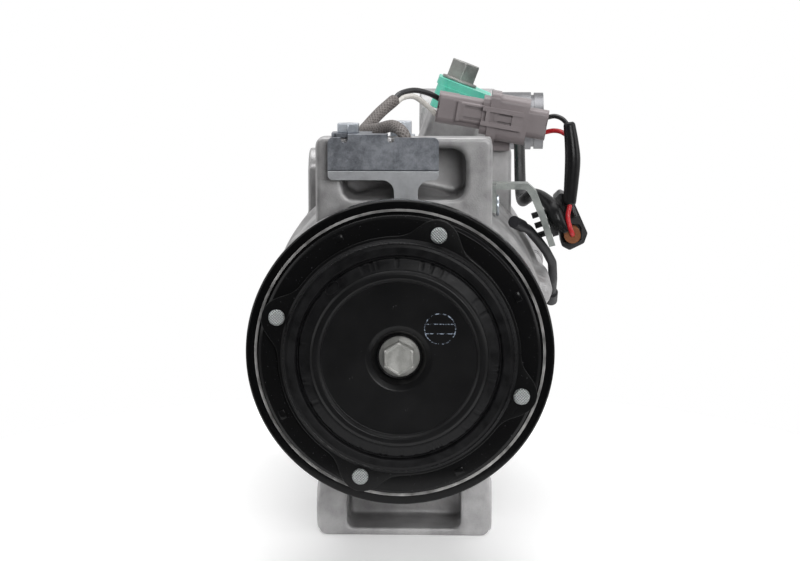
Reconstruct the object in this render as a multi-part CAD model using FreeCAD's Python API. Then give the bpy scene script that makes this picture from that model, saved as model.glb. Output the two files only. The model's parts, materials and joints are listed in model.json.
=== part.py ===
"""Automotive air-conditioning compressor: variable-stroke swash plate type with seven
pistons, an electromagnetic clutch and a six-rib belt pulley.

Millimetres. +Z is up, +X is to the right as seen from the pulley end, and the shaft lies
along Y with the pulley towards -Y. The origin is on the shaft axis, in the middle of the
belt grooves. The swash plate is drawn square to the shaft, its smallest stroke.
"""
import FreeCAD, Part
import math
import os

V = FreeCAD.Vector
Y_AXIS = V(0, 1, 0)
ORIGIN = V(0, 0, 0)

# ---- driving dimensions ----------------------------------------------------------------
# belt pulley
PULLEY_R = 55.0
PULLEY_FRONT = -17.2
PULLEY_BACK = 14.5
LIP_FRONT = PULLEY_FRONT - 0.3
LIP_BACK = -12.0
BELT_R = 52.0
FRICTION_R = 51.6
RIB_PITCH = 3.56
RIBS = 6
RIB_DEPTH = 2.9
RIM_INNER_R = 47.5
HUB_TUBE_R = 32.0
CHANNEL_FRONT = -12.0

# pulley bearing, double row
BEARING_IN_R = 17.5
BEARING_OUT_R = 27.5
BEARING_HALF = 9.5
BALL_R = 3.9
BALL_PITCH_R = 22.5
BALL_ROW = 4.7
BALLS = 12
RACE_CLEAR = 0.15

# clutch front
AIR_GAP = 0.5
ARMATURE_R = 50.0
ARMATURE_THICK = 4.0
ARMATURE_BORE_R = 33.0
PLATE_THICK = 1.8
PLATE_RING_R = 43.0
PLATE_BORE_R = 35.0
EAR_R = 7.8
RIVET_CIRCLE_R = 45.3
RIVET_HEAD_R = 2.9
RIVET_FIRST = 72.2
CUP_R = 31.5
DISC_R = 27.8
DISC_FACE = -26.5
CUP_FACE = -28.0
HUB_BOLT_AF = 10.2

# body
BODY_R = 53.5
CAVITY_R = 50.5
HOUSING_FACE = 15.0
FRONT_SPLIT = 97.5
GASKET = 0.6
BLOCK_FRONT = FRONT_SPLIT + GASKET
BLOCK_BACK = 138.5
REED = 0.4
VALVE_PLATE = 2.8
REAR_FACE = BLOCK_BACK + 2 * REED + VALVE_PLATE + GASKET
BODY_BACK = 182.0
BOLT_CIRCLE_R = 52.3
BOLT_R = 3.0
BOLT_FRONT = 64.0

# swash plate mechanism
CYLINDERS = 7
CYLINDER_PITCH_R = 36.2
BORE_R = 14.0
PISTON_CLEAR = 0.03
PLATE_MID = 88.0
SWASH_R = 46.0
SWASH_THICK = 5.0
SHOE_R = 8.5
SHOE_GAP = 0.4
JAW_HALF = 6.8
PISTON_TAIL = 12.5
PISTON_CROWN = 50.0
RAMP_HIGH = 59.98
SLEEVE_R = 15.0
SLEEVE_HALF = 9.0
SPRING_R = 11.2
SPRING_WIRE_R = 0.9
SPRING_COILS = 5
SPRING_SIDES = 6
SHAFT_R = 9.0
RUN = 0.03

# mounting lugs and feet
TOP_HALF_X = 33.0
TOP_Z = 73.4
TOP_FRONT = 26.0
TOP_BACK = 62.0
FOOT_HALF_X = 32.6
BOSS_HALF_X = 33.6
FOOT_Z = -79.5
FOOT_FRONT = 29.5
MOUNT_R = 5.1
LUG_Y = 39.5
FOOT_BORE_Z = -69.5
TOP_BORE_Z = 60.0
REAR_LUG_Y = 120.0
REAR_LUG_TOP_Y = 108.0
REAR_TOP_Z = 54.0
REAR_TOP_HALF_X = 41.5

# connection block on the rear head, leaning towards +X
LEAN = 20.6
PORT_Y = 161.5
PORT_AXIS = -12.2
PORT_FACE = 75.7
PORT_STEP = 11.0

# control valve
VALVE_Y = 193.0
VALVE_Z = 68.5
VALVE_STEM_R = 9.0
VALVE_CAN_R = 12.9
VALVE_SEAT_X = 36.0
VALVE_END_X = 57.5

# wire guard
GUARD_Y = 19.5
SHEET = 1.8

# coil plug pair
PLUG_X = 33.1
PLUG_Y = 86.5
PLUG_Z = 77.7
PLUG_TILT = 9.9
WIRE_R = 1.1
THIN_WIRE_R = 0.95

# harness bracket and small fixings
BRACKET_LOW = 42.6
BRACKET_HIGH = 53.4
BRACKET_RIVET_Y = 56.0
BRACKET_RIVET_Z = 45.0
GUARD_BOLT = (-20.9, 31.5)
CLAMP_BOLT = (-1.7, 46.5)
SCREW_R = 2.5
SCREW_HOLE_R = 2.6


# ---- helpers ---------------------------------------------------------------------------
def ycyl(radius, y0, y1, x=0.0, z=0.0):
    return Part.makeCylinder(radius, y1 - y0, V(x, y0, z), Y_AXIS)


def xcyl(radius, x0, x1, y, z):
    return Part.makeCylinder(radius, x1 - x0, V(x0, y, z), V(1, 0, 0))


def zcyl(radius, z0, z1, x, y):
    return Part.makeCylinder(radius, z1 - z0, V(x, y, z0), V(0, 0, 1))


def ring(outer, inner, y0, y1):
    return ycyl(outer, y0, y1).cut(ycyl(inner, y0 - 1, y1 + 1))


def block(x0, x1, y0, y1, z0, z1):
    return Part.makeBox(x1 - x0, y1 - y0, z1 - z0, V(x0, y0, z0))


def join(shapes):
    return shapes[0].multiFuse(shapes[1:]).removeSplitter()


def round_edges(shape, radius, wanted):
    """Round the edges that pass the test."""
    return shape.makeFillet(radius, [e for e in shape.Edges if wanted(e)])


def rounded_block(x0, x1, y0, y1, z0, z1, radius, axis="y"):
    """A block whose four edges along the axis are rounded."""
    index = "xyz".index(axis)

    def along(edge):
        box = edge.BoundBox
        spans = (box.XLength, box.YLength, box.ZLength)
        return all(s < 1e-6 for i, s in enumerate(spans) if i != index)

    return round_edges(block(x0, x1, y0, y1, z0, z1), radius, along)


def spin(profile):
    """Turn a closed outline of (radius, y) points about the shaft axis."""
    points = [V(r, y, 0) for r, y in profile]
    face = Part.Face(Part.makePolygon(points + points[:1]))
    return face.revolve(ORIGIN, Y_AXIS, 360)


def plate(points, y0, y1):
    """A flat plate with a polygon outline of (x, z) points."""
    corners = [V(x, y0, z) for x, z in points]
    return Part.Face(Part.makePolygon(corners + corners[:1])).extrude(V(0, y1 - y0, 0))


def turned(shape, degrees, centre=ORIGIN, axis=Y_AXIS):
    copy = shape.copy()
    copy.rotate(centre, axis, degrees)
    return copy


def at_angle(shape, angle):
    """Move a shape drawn at the top (90 degrees) to an angle counted from +X."""
    return turned(shape, 90.0 - angle)


def polar(radius, angle):
    a = math.radians(angle)
    return radius * math.cos(a), radius * math.sin(a)


def hexagon(across_flats, y0, y1, x=0.0, z=0.0):
    corner = across_flats / math.sqrt(3)
    points = []
    for i in range(6):
        across, up = polar(corner, 30 + 60 * i)
        points.append((x + across, z + up))
    return plate(points, y0, y1)


def upright_bolt(x, y, z, across_flats, head, shank_r, shank, washer=0.0):
    """A hexagon bolt pointing down, its head standing on the height z."""
    shape = hexagon(across_flats, 0, head)
    shape = shape.common(ycyl(across_flats * 0.56, 0, head))
    parts = [shape, ycyl(shank_r, -shank, 0.5)]
    if washer:
        parts.append(ycyl(washer, 0, 1.2))
    shape = join(parts)
    shape.rotate(ORIGIN, V(1, 0, 0), 90)
    shape.translate(V(x, y, z))
    return shape


def route(points, bend):
    """A path of straight runs joined by tangent arcs."""
    corners = [V(*p) for p in points]
    edges = []
    last = corners[0]
    for before, here, after in zip(corners, corners[1:], corners[2:]):
        into = (before - here).normalize()
        out = (after - here).normalize()
        half = into.getAngle(out) / 2
        reach = bend / math.tan(half)
        reach = min(reach, 0.48 * (before - here).Length, 0.48 * (after - here).Length)
        radius = reach * math.tan(half)
        start = here + into * reach
        end = here + out * reach
        middle = (into + out).normalize()
        crown = here + middle * (radius / math.sin(half) - radius)
        edges.append(Part.LineSegment(last, start).toShape())
        edges.append(Part.Arc(start, crown, end).toShape())
        last = end
    edges.append(Part.LineSegment(last, corners[-1]).toShape())
    return Part.Wire(edges)


def cord(points, radius, bend=6.0):
    path = route(points, bend)
    first = path.Edges[0]
    start = first.valueAt(first.FirstParameter)
    heading = V(*points[1]) - V(*points[0])
    circle = Part.Wire(Part.Circle(start, heading, radius).toShape())
    return path.makePipeShell([circle], True, False)


def bulged_tube(stations):
    """A soft tube through (x, y, z, radius) stations, round at each one."""
    centres = [V(*s[:3]) for s in stations]
    rings = []
    for i, (centre, station) in enumerate(zip(centres, stations)):
        before = centres[max(i - 1, 0)]
        after = centres[min(i + 1, len(centres) - 1)]
        circle = Part.Circle(centre, after - before, station[3])
        rings.append(Part.Wire(circle.toShape()))
    return Part.makeLoft(rings, True)


def bolt_places():
    step = 360.0 / CYLINDERS
    return [polar(BOLT_CIRCLE_R, 90 + step * (i + 0.5)) for i in range(CYLINDERS)]


def lobed(radius, lobe, y0, y1):
    """A round body section with a lobe around each through bolt."""
    return join([ycyl(radius, y0, y1)] + [ycyl(lobe, y0, y1, x, z) for x, z in bolt_places()])


def bolt_holes(y0, y1):
    return [ycyl(BOLT_R, y0, y1, x, z) for x, z in bolt_places()]


def cylinder_angles():
    return [90 + 360.0 / CYLINDERS * i for i in range(CYLINDERS)]


# ---- clutch and pulley -----------------------------------------------------------------
def pulley():
    outline = [
        (26.0, PULLEY_FRONT),
        (FRICTION_R - 0.6, PULLEY_FRONT),
        (FRICTION_R, LIP_FRONT),
        (PULLEY_R - 0.5, LIP_FRONT),
        (PULLEY_R, LIP_FRONT + 0.5),
        (PULLEY_R, LIP_BACK),
        (BELT_R, LIP_BACK + 1.0),
        (BELT_R, PULLEY_BACK),
        (RIM_INNER_R, PULLEY_BACK),
        (RIM_INNER_R, CHANNEL_FRONT),
        (HUB_TUBE_R, CHANNEL_FRONT),
        (HUB_TUBE_R, 12.0),
        (BEARING_OUT_R, 12.0),
        (BEARING_OUT_R, -BEARING_HALF),
        (26.0, -BEARING_HALF),
    ]
    body = spin(outline)
    grooves = []
    for i in range(RIBS):
        middle = (i - (RIBS - 1) / 2) * RIB_PITCH
        floor = BELT_R - RIB_DEPTH
        grooves.append(spin([
            (BELT_R + 0.5, middle - 1.45),
            (BELT_R + 0.5, middle + 1.45),
            (floor, middle + 0.35),
            (floor, middle - 0.35),
        ]))
    return body.cut(grooves)


def raceways():
    torus = []
    for y in (-BALL_ROW, BALL_ROW):
        torus.append(Part.makeTorus(BALL_PITCH_R, BALL_R + RACE_CLEAR, V(0, y, 0), Y_AXIS))
    return torus


def pulley_bearing_inner_ring():
    return ring(20.3, BEARING_IN_R, -BEARING_HALF, BEARING_HALF).cut(raceways())


def pulley_bearing_outer_ring():
    """Outer ring with its two pressed-in shields."""
    outer = ring(BEARING_OUT_R, 24.7, -BEARING_HALF, BEARING_HALF).cut(raceways())
    return Part.makeCompound([outer, ring(24.7, 20.5, -9.2, -8.7), ring(24.7, 20.5, 8.7, 9.2)])


def pulley_bearing_balls():
    """Two rows of balls and the cage that spaces them."""
    balls = []
    pockets = []
    for row, y in enumerate((-BALL_ROW, BALL_ROW)):
        for i in range(BALLS):
            x, z = polar(BALL_PITCH_R, 360.0 / BALLS * (i + 0.5 * row))
            balls.append(Part.makeSphere(BALL_R, V(x, y, z)))
            pockets.append(Part.makeCylinder(BALL_R + RACE_CLEAR, 30, V(0, y, 0), V(x, 0, z)))
    cage = ring(23.3, 21.7, -7.6, 7.6).cut(pockets)
    return Part.makeCompound(balls + [cage])


def snap_rings():
    """Open spring rings: bearing, coil and shaft seal retainers."""
    gap = block(-2.5, 2.5, -40, 40, -30, 0)
    rings = [
        ring(20.4, 16.9, -11.2, -9.7),
        ring(21.0, 16.9, 11.4, 12.9),
        ring(14.3, 11.3, -5.5, -4.3),
    ]
    return Part.makeCompound([r.cut(gap) for r in rings])


def coil_housing():
    """Pressed steel cup around the winding, with the back plate that locates it."""
    return spin([
        (17.6, 13.0), (33.0, 13.0), (33.0, -10.5), (35.2, -10.5), (35.2, 12.4), (44.4, 12.4),
        (44.4, -10.5), (46.4, -10.5), (46.4, 14.9), (17.6, 14.9),
    ])


def coil_winding():
    return ring(44.4, 35.2, -9.4, 12.4)


def armature_disc():
    back = PULLEY_FRONT - AIR_GAP
    front = back - ARMATURE_THICK
    return spin([
        (ARMATURE_BORE_R, front),
        (ARMATURE_R - 1.2, front),
        (ARMATURE_R, front + 1.0),
        (ARMATURE_R, back),
        (ARMATURE_BORE_R, back),
    ]).cut(rivet_holes())


def rivet_places():
    return [polar(RIVET_CIRCLE_R, RIVET_FIRST + 90 * i) for i in range(4)]


def rivet_holes():
    return [ycyl(2.0, -30, -10, x, z) for x, z in rivet_places()]


def armature_front():
    return PULLEY_FRONT - AIR_GAP - ARMATURE_THICK


def outer_plate():
    """Spring ring with four riveted ears."""
    back = armature_front()
    front = back - PLATE_THICK
    ears = [ycyl(PLATE_RING_R, front, back)]
    for i in range(4):
        ear = ycyl(EAR_R, front, back, *polar(PLATE_RING_R, RIVET_FIRST + 90 * i))
        ears.append(ear)
    shape = join(ears)
    shape = round_edges(shape, 4.0, lambda e: abs(e.BoundBox.YLength - PLATE_THICK) < 0.01 and e.Length < 2)
    return shape.cut([ycyl(PLATE_BORE_R, front - 1, back + 1)] + rivet_holes())


def armature_rivets():
    front = armature_front() - PLATE_THICK
    rivets = []
    for x, z in rivet_places():
        head = Part.makeCone(RIVET_HEAD_R - 0.5, RIVET_HEAD_R, 1.0, V(x, front - 1.0, z), Y_AXIS)
        shank = ycyl(2.0, front, PULLEY_FRONT - AIR_GAP - 0.3, x, z)
        rivets.append(join([head, shank]))
    return Part.makeCompound(rivets)


def damper_rubber():
    """Bonded ring that carries the drive from the spring plate to the hub."""
    plate_front = armature_front() - PLATE_THICK
    return spin([
        (CUP_R, armature_front() - 0.1), (CUP_R, CUP_FACE), (36.3, -25.7), (36.9, -24.5),
        (37.4, -25.8), (40.4, -26.0), (41.0, -25.3), (41.0, plate_front),
        (PLATE_BORE_R, plate_front), (PLATE_BORE_R, armature_front() - 0.1),
    ])


def clutch_hub():
    """Pressed cup welded to the splined sleeve on the shaft end."""
    return spin([
        (6.1, -22.0), (8.0, -22.0), (10.8, DISC_FACE), (DISC_R, DISC_FACE), (DISC_R, CUP_FACE + 0.4),
        (DISC_R + 0.5, CUP_FACE), (30.0, CUP_FACE), (31.0, CUP_FACE + 0.5), (CUP_R, CUP_FACE + 1.4),
        (CUP_R, -21.8), (29.0, -21.8), (29.0, -23.6), (11.0, -23.6), (11.0, -8.0), (6.1, -8.0),
    ])


def hub_bolt():
    flange = Part.makeCone(7.3, 6.6, 1.5, V(0, -22.0, 0), V(0, -1, 0))
    head = hexagon(HUB_BOLT_AF, CUP_FACE, -23.4)
    head = head.common(Part.makeCone(5.0, 8.0, 5.0, V(0, CUP_FACE, 0), Y_AXIS))
    recess = hexagon(HUB_BOLT_AF - 1.6, CUP_FACE, CUP_FACE + 0.4)
    return join([flange, head, ycyl(BOLT_R, -22.5, -7.0)]).cut(recess)


# ---- shaft and stroke mechanism --------------------------------------------------------
def shaft():
    body = spin([
        (0, -20.5), (6.1, -20.5), (6.1, -8.0), (8.0, -8.0), (8.0, 13.0), (9.5, 13.0), (9.5, 50.0),
        (SHAFT_R, 50.0), (SHAFT_R, 99.0), (8.0, 100.0), (8.0, 127.0), (0, 127.0),
    ])
    return body.cut([ycyl(BOLT_R, -21, -6.0), ycyl(1.5, 60, 128)])


def shaft_seal():
    """Lip seal with a metal case."""
    return spin([
        (13.5, -3.5), (13.5, 8.5), (11.0, 8.5), (11.0, 0.0), (8.04, 2.5), (8.04, 1.0), (10.4, -2.0),
        (9.4, -3.5),
    ])


def shaft_bushes():
    front = ring(11.5, 9.5 + RUN, 14.0, 31.0)
    rear = ring(10.0, 8.0 + RUN, 103.0, 127.0)
    return Part.makeCompound([front, rear])


def thrust_rollers():
    """Needle rollers lying like spokes, in their cage."""
    rollers = []
    pockets = []
    for i in range(16):
        a = math.radians(360.0 / 16 * i)
        heading = V(math.cos(a), 0, math.sin(a))
        start = heading * 15.5 + V(0, 38.0, 0)
        rollers.append(Part.makeCylinder(1.8, 7.0, start, heading))
        pockets.append(Part.makeCylinder(1.9, 7.4, start - heading * 0.2, heading))
    cage = ring(24.5, 13.5, 37.2, 38.8).cut(pockets)
    return Part.makeCompound(rollers + [cage])


def lug_plate():
    """Drive plate pressed on the shaft, with the cone that the swash plate arms run on."""
    return spin([
        (9.5, 40.0), (26.0, 40.0), (28.0, 42.0), (28.0, 50.6), (14.0, RAMP_HIGH), (14.0, 50.0),
        (9.5, 50.0),
    ])


def destroke_spring():
    """Coil spring that pushes the sleeve back to the smallest stroke."""
    low = 51.0 + SPRING_WIRE_R
    high = PLATE_MID - SLEEVE_HALF - 1.0 - SPRING_WIRE_R
    corner = SPRING_R / math.cos(math.pi / SPRING_SIDES)
    steps = SPRING_COILS * SPRING_SIDES
    points = []
    for i in range(steps + 1):
        x, z = polar(corner, 360.0 / SPRING_SIDES * i)
        points.append((x, low + (high - low) * i / steps, z))
    return cord(points, SPRING_WIRE_R, 0.85 * SPRING_R)


def swash_sleeve():
    """Ball-shaped sleeve that slides on the shaft, with two trunnions for the plate."""
    ball = Part.makeSphere(SLEEVE_R, V(0, PLATE_MID, 0))
    ball = ball.common(ycyl(SLEEVE_R, PLATE_MID - SLEEVE_HALF, PLATE_MID + SLEEVE_HALF))
    trunnions = xcyl(3.0, -19.0, 19.0, PLATE_MID, 0)
    return join([ball, trunnions]).cut(ycyl(SHAFT_R + RUN, 70, 110))


def swash_plate():
    """Tilting plate with its hub and the two arms that reach the lug plate ramp."""
    half = SWASH_THICK / 2
    disc = ycyl(SWASH_R, PLATE_MID - half, PLATE_MID + half)
    hub = ycyl(20.5, PLATE_MID - 7.5, PLATE_MID + 7.5)
    arms = []
    for x in (-8.5, 4.0):
        arms.append(block(x, x + 4.5, PLATE_MID - 27, PLATE_MID - 1, 15.5, 20.5))
    nose = xcyl(2.5, -8.5, 8.5, PLATE_MID - 27, 18.0)
    window = Part.makeSphere(SLEEVE_R + 0.06, V(0, PLATE_MID, 0))
    window = window.common(ycyl(SLEEVE_R + 1, PLATE_MID - 10, PLATE_MID + 10))
    trunnion_hole = xcyl(3.0 + RUN, -19.2, 19.2, PLATE_MID, 0)
    room = join([window, trunnion_hole])
    return turned(join([disc, hub, nose] + arms).cut(room), 180)


def piston(angle):
    """Single-headed piston whose jaw straddles the swash plate through two shoes."""
    axis_z = CYLINDER_PITCH_R
    crown = ycyl(BORE_R - PISTON_CLEAR, PLATE_MID + 9, PLATE_MID + PISTON_CROWN, 0, axis_z)
    jaw = block(-7.5, 7.5, PLATE_MID - PISTON_TAIL, PLATE_MID + 10, axis_z - 8, 52)
    jaw = jaw.common(ycyl(50.1, 60, 110))
    slot = block(-9, 9, PLATE_MID - JAW_HALF, PLATE_MID + JAW_HALF, axis_z - 9, 46.6)
    ball = Part.makeSphere(SHOE_R + 0.05, V(0, PLATE_MID, axis_z))
    hollow = ycyl(11.0, PLATE_MID + 20, PLATE_MID + PISTON_CROWN - 4, 0, axis_z)
    shape = join([crown, jaw]).cut([slot, ball, hollow])
    return at_angle(shape, angle)


def shoes(angle):
    """The pair of half-ball shoes between one piston and the swash plate."""
    ball = Part.makeSphere(SHOE_R, V(0, PLATE_MID, CYLINDER_PITCH_R))
    flat = SWASH_THICK / 2 + SHOE_GAP
    pair = []
    for side in (-1, 1):
        near = PLATE_MID + side * flat
        far = PLATE_MID + side * 8.0
        slab = block(-20, 20, min(near, far), max(near, far), 0, 60)
        pair.append(at_angle(ball.common(slab), angle))
    return Part.makeCompound(pair)


# ---- castings --------------------------------------------------------------------------
def top_block():
    """Front upper mounting block with its open front pocket."""
    body = rounded_block(-TOP_HALF_X, TOP_HALF_X, TOP_FRONT, TOP_BACK, 28, TOP_Z, 3.0)
    low_back = block(-50, 50, 37, 70, TOP_Z - 2.0, TOP_Z + 5)
    pocket = rounded_block(-23, 23, TOP_FRONT - 1, 50, 50.3, 69.4, 5.0)
    lead_notch = block(-4.0, 6.0, TOP_FRONT - 1, 31.0, 70.8, TOP_Z + 1)
    return body.cut([low_back, pocket, lead_notch])


def foot_block(y0, y1, pocket_depth):
    """Lower mounting lug with side bosses and an open front pocket."""
    middle = y0 + 10.0
    body = rounded_block(-FOOT_HALF_X, FOOT_HALF_X, y0, y1, FOOT_Z, -30, 3.0)
    bosses = xcyl(10.0, -BOSS_HALF_X, BOSS_HALF_X, middle, FOOT_BORE_Z)
    keep = block(-50, 50, y0, y1, FOOT_Z, 0)
    body = join([body, bosses.common(keep)])
    pocket = rounded_block(-21.7, 21.7, y0 - 1, y0 + pocket_depth, FOOT_Z + 3.0, -54.5, 2.5)
    return body.cut(pocket)


def foot_bore(y):
    hole = xcyl(MOUNT_R, -50, 50, y, FOOT_BORE_Z)
    rims = []
    for side in (-1, 1):
        face = V(side * BOSS_HALF_X, y, FOOT_BORE_Z)
        rims.append(Part.makeCone(MOUNT_R + 1.2, MOUNT_R, 1.2, face, V(-side, 0, 0)))
    return [hole] + rims


def front_housing():
    shell = spin([
        (0, -14.0), (16.9, -14.0), (BEARING_IN_R, -13.4), (BEARING_IN_R, HOUSING_FACE),
        (42, HOUSING_FACE), (45.5, 18.5), (49.5, 32), (BODY_R, 44), (BODY_R, 86), (55.5, 88),
        (55.5, FRONT_SPLIT), (0, FRONT_SPLIT),
    ])
    lobes = [ycyl(6.0, 58, FRONT_SPLIT, x, z) for x, z in bolt_places()]
    ear = ycyl(5.5, 43, 60, *polar(49.0, 144.5))
    body = join([shell, top_block(), foot_block(FOOT_FRONT, 62, 20)] + lobes + [ear])
    cavity = spin([
        (0, -15), (13.5, -15), (13.5, 9), (11.5, 9), (11.5, 36.0), (25.5, 36.0), (30, 38), (41, 40),
        (CAVITY_R, 46), (CAVITY_R, 98), (0, 98),
    ])
    bosses = [ycyl(5.0, 47, FRONT_SPLIT, x, z) for x, z in bolt_places()]
    body = join([body.cut(cavity)] + [b.cut(ycyl(47.6, 40, 100)) for b in bosses])
    grooves = [
        ring(18, 16.9, -11.2, -9.7),
        ring(18, 16.9, 11.4, 12.9),
        ring(14.3, 13, -5.5, -4.3),
    ]
    tools = bolt_holes(BOLT_FRONT, 99) + foot_bore(LUG_Y) + grooves
    tools.append(xcyl(MOUNT_R, -50, 50, LUG_Y, TOP_BORE_Z))
    tools += [zcyl(SCREW_R, 60, 80, *GUARD_BOLT), zcyl(SCREW_R, 60, 80, *CLAMP_BOLT)]
    tools.append(xcyl(SCREW_R, 22, 40, BRACKET_RIVET_Y, BRACKET_RIVET_Z))
    return body.cut(tools)


def body_gaskets():
    """Flat gaskets at the two joints of the body."""
    rings = []
    for y in (FRONT_SPLIT, REAR_FACE - GASKET):
        sheet = lobed(BODY_R, 4.8, y, y + GASKET)
        rings.append(sheet.cut([ycyl(CAVITY_R, y - 1, y + 2)] + bolt_holes(y - 1, y + 2)))
    return Part.makeCompound([max(r.Solids, key=lambda s: s.Volume) for r in rings])


def cylinder_block():
    barrel = lobed(BODY_R, 4.8, BLOCK_FRONT, BLOCK_BACK)
    flange = ycyl(55.5, BLOCK_FRONT, BLOCK_FRONT + 6)
    rear_lug = xcyl(9.0, -REAR_TOP_HALF_X, REAR_TOP_HALF_X, REAR_LUG_TOP_Y, REAR_TOP_Z)
    slab = block(-REAR_TOP_HALF_X, REAR_TOP_HALF_X, BLOCK_FRONT, BLOCK_FRONT + 14, 26, REAR_TOP_Z + 2)
    pad = block(32.5, REAR_TOP_HALF_X, BLOCK_FRONT, BLOCK_FRONT + 14, REAR_TOP_Z, REAR_TOP_Z + 9.5)
    foot = foot_block(REAR_LUG_Y - 10, REAR_LUG_Y + 12, 18)
    foot = foot.cut(ycyl(BODY_R - 1, 90, 150))
    body = join([barrel, flange, rear_lug, slab, pad, foot])
    clear = block(-26, 26, 90, 120, BODY_R + 0.5, 80)
    bores = [ycyl(BORE_R, 90, 150, *polar(CYLINDER_PITCH_R, a)) for a in cylinder_angles()]
    centre = [ycyl(10.0, 90, 130), ycyl(2.0, 129, 150)]
    tools = bores + centre + bolt_holes(90, 150) + foot_bore(REAR_LUG_Y) + [clear]
    for x0, x1 in ((-60, -26), (26, 60)):
        tools.append(xcyl(MOUNT_R, x0, x1, REAR_LUG_TOP_Y, REAR_TOP_Z))
    return body.cut(tools)


def valve_plate():
    sheet = lobed(BODY_R, 4.8, BLOCK_BACK + REED, BLOCK_BACK + REED + VALVE_PLATE)
    holes = bolt_holes(130, 150)
    for a in cylinder_angles():
        holes.append(ycyl(3.2, 130, 150, *polar(CYLINDER_PITCH_R - 7.5, a)))
        holes.append(ycyl(4.2, 130, 150, *polar(CYLINDER_PITCH_R + 6.0, a)))
    return sheet.cut(holes)


def reed_plates():
    """Suction and discharge reed sheets on the two sides of the valve plate."""
    sheets = []
    for y, reach in ((BLOCK_BACK, 6.0), (BLOCK_BACK + REED + VALVE_PLATE, -7.5)):
        sheet = lobed(BODY_R, 4.8, y, y + REED).cut(bolt_holes(130, 150))
        slots = []
        for a in cylinder_angles():
            x, z = polar(CYLINDER_PITCH_R + reach, a)
            window = ycyl(5.6, y - 1, y + 1, x, z).cut(ycyl(4.6, y - 2, y + 2, x, z))
            root = at_angle(block(-3.0, 3.0, y - 2, y + 2, 28, 41), a)
            slots.append(window.cut(root))
        sheets.append(sheet.cut(slots))
    return Part.makeCompound(sheets)


def leaned(shape):
    return turned(shape, LEAN)


def rear_housing():
    barrel = lobed(BODY_R, 5.6, REAR_FACE, BODY_BACK - 4)
    dome = Part.makeCone(BODY_R, BODY_R - 5, 6, V(0, BODY_BACK - 6, 0), Y_AXIS)
    port = rounded_block(-20.6, 3.5, REAR_FACE + 0.5, BODY_BACK - 2, 38, PORT_FACE, 4.0, "z")
    valve_boss = xcyl(14.5, 2.0, VALVE_SEAT_X, VALVE_Y, VALVE_Z)
    saddle = block(4.0, VALVE_SEAT_X, 168, VALVE_Y + 6, 36, VALVE_Z)
    body = join([barrel, dome, leaned(port), valve_boss, saddle])
    discharge = ycyl(23.0, REAR_FACE - 1, 170)
    suction = ring(47.0, 27.0, REAR_FACE - 1, 168)
    pillars = [ycyl(5.5, REAR_FACE - 2, 170, x, z) for x, z in bolt_places()]
    suction = suction.cut(pillars)
    ports = []
    for side, radius, floor in ((-1, 5.6, 42.0), (1, 6.0, 58.0)):
        y = PORT_Y + side * PORT_STEP
        ports.append(leaned(zcyl(radius, floor, 90, PORT_AXIS, y)))
    tools = [discharge, suction] + ports + bolt_holes(REAR_FACE - 1, 199)
    tools.append(leaned(zcyl(4.0, 58, 90, PORT_AXIS, PORT_Y)))
    tools.append(xcyl(VALVE_STEM_R, 6.0, 60, VALVE_Y, VALVE_Z))
    tools += [ycyl(6.5, BODY_BACK - 4, 199, x, z) for x, z in bolt_places()]
    return body.cut(tools)


def through_bolts():
    bolts = []
    for x, z in bolt_places():
        head = hexagon(10.0, BODY_BACK - 2.5, BODY_BACK + 3.5, x, z)
        washer = ycyl(6.0, BODY_BACK - 4, BODY_BACK - 2.5, x, z)
        bolts.append(join([washer, head, ycyl(BOLT_R, BOLT_FRONT + 1, BODY_BACK - 3, x, z)]))
    return Part.makeCompound(bolts)


def control_valve():
    """Solenoid valve that sets the crankcase pressure."""
    stem = xcyl(VALVE_STEM_R, 7.0, VALVE_SEAT_X, VALVE_Y, VALVE_Z)
    can = xcyl(VALVE_CAN_R, VALVE_SEAT_X, 52.0, VALVE_Y, VALVE_Z)
    neck = xcyl(VALVE_CAN_R - 1.2, 52.0, 53.4, VALVE_Y, VALVE_Z)
    cap = xcyl(VALVE_CAN_R - 0.2, 53.4, VALVE_END_X, VALVE_Y, VALVE_Z)
    socket = rounded_block(42, 52, VALVE_Y - 21.5, VALVE_Y - 9, VALVE_Z - 5, VALVE_Z + 5, 2.0)
    body = join([stem, can, neck, cap, socket])
    grooves = []
    for x in (12.0, 20.0, 28.0):
        groove = xcyl(VALVE_STEM_R + 1, x, x + 2.0, VALVE_Y, VALVE_Z)
        grooves.append(groove.cut(xcyl(VALVE_STEM_R - 1.2, x - 1, x + 3, VALVE_Y, VALVE_Z)))
    return body.cut(grooves + [xcyl(1.6, 6.0, 46, VALVE_Y, VALVE_Z)])


def control_valve_rod():
    return xcyl(1.55, 10.0, 43.0, VALVE_Y, VALVE_Z)


def port_cap():
    """Moulded transport cap that plugs both ports."""
    low = PORT_FACE
    left = PORT_AXIS - 9.1
    right = PORT_AXIS + 14.8
    front = PORT_Y - PORT_STEP - 5.9
    back = PORT_Y + PORT_STEP + 5.9
    skirt = rounded_block(left + 0.6, PORT_AXIS + 9.5, front, back, low, low + 10.0, 6.0, "z")
    top = rounded_block(left, right, front + 1, back - 1, low + 10.0, low + 13.0, 6.0, "z")
    plugs = []
    for side, radius in ((-1, 5.4), (1, 5.8)):
        plugs.append(zcyl(radius, low - 7, low + 1, PORT_AXIS, PORT_Y + side * PORT_STEP))
    rib = block(PORT_AXIS + 9.0, right - 1.0, PORT_Y - 2, PORT_Y + 2, low + 5.0, low + 10.5)
    cap = join([skirt, top, rib] + plugs)
    return leaned(cap.cut(zcyl(4.1, low - 10, low + 20, PORT_AXIS, PORT_Y)))


def port_cap_bolt():
    seat = PORT_FACE + 13.0
    bolt = upright_bolt(PORT_AXIS, PORT_Y, seat, 12.0, 9.0, 4.0, 24.0, 7.75)
    return leaned(bolt)


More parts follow.
